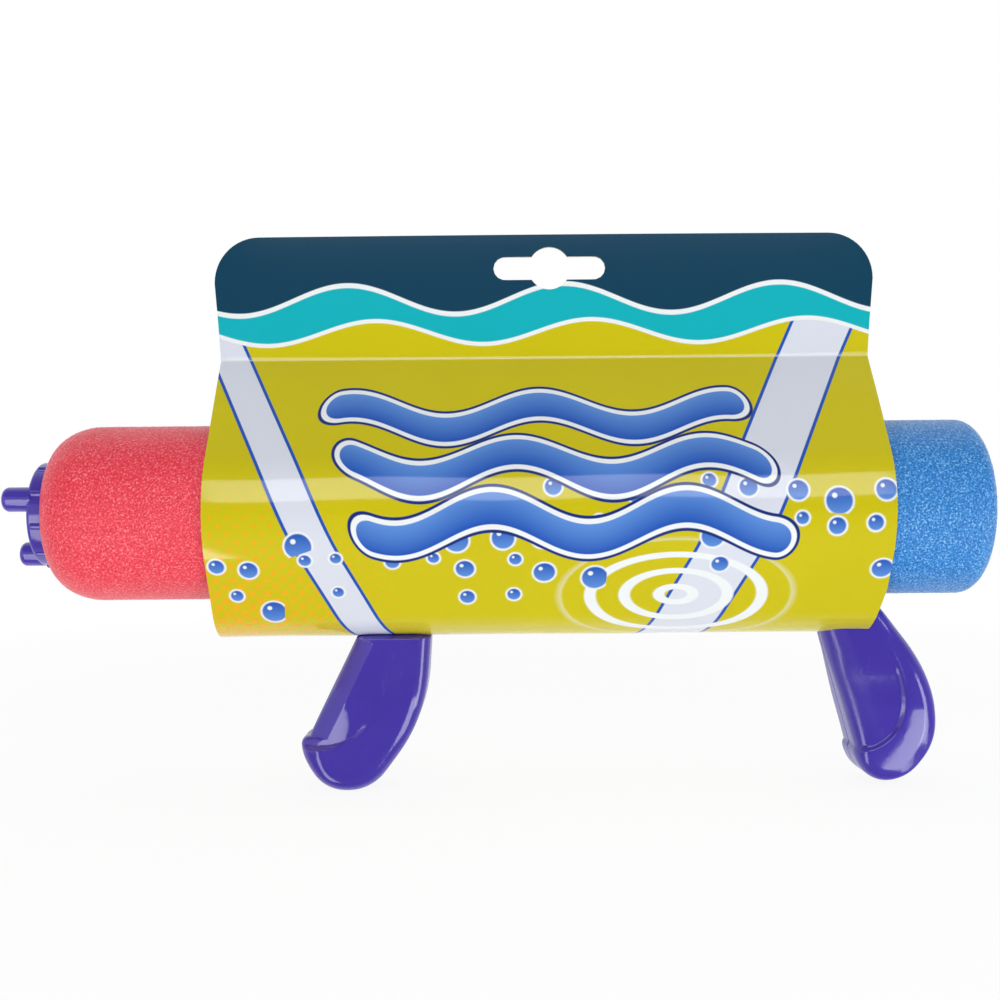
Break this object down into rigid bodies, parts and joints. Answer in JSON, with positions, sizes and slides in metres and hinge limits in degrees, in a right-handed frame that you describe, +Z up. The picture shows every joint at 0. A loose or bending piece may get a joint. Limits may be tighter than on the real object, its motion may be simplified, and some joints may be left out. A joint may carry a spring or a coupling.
{
  "type": "water squirter",
  "caption": "Foam-covered pull-pump water squirter: a plunger slides in a barrel with a pegged jet nozzle, with splayed handles under both halves and a folded hang card round the middle.",
  "frame": {"origin": "centre of the jet's mouth, on the pump's axis", "axes": "+X back along the pump from the jet to the tail, +Z up towards the hang slot, handles pointing down, so -Y is the side that faces the viewer"},
  "size_m": [0.2733, 0.0516, 0.1576],
  "materials": {
    "violet_plastic": "gloss",
    "red_foam": "matte",
    "blue_foam": "matte",
    "printed_card": "satin",
    "tube_plastic": "satin",
    "works_plastic": "satin",
    "seal_rubber": "matte",
    "screw_steel": "satin"
  },
  "bodies": {
    "barrel_half": {"nozzle_cap": "violet_plastic", "nozzle_seal": "seal_rubber", "pump_barrel": "tube_plastic", "barrel_guide_bush": "works_plastic", "guide_bush_pins": "screw_steel", "front_foam_sleeve": "red_foam", "front_handle_body": "violet_plastic", "front_handle_cover": "violet_plastic", "front_handle_screws": "screw_steel", "display_card": "printed_card"},
    "plunger_half": {"plunger_rod": "works_plastic", "piston_head": "works_plastic", "piston_seal": "seal_rubber", "piston_pin": "screw_steel", "rear_grip_tube": "tube_plastic", "rod_centring_bush": "works_plastic", "end_cap": "violet_plastic", "end_cap_screw": "screw_steel", "rear_foam_sleeve": "blue_foam", "rear_handle_body": "violet_plastic", "rear_handle_cover": "violet_plastic", "rear_handle_screws": "screw_steel"}
  },
  "joints": [
    {"name": "plunger_slide", "type": "slide", "parent": "barrel_half", "child": "plunger_half", "axis": [1, 0, 0], "range_m": [0, 0.11]}
  ]
}
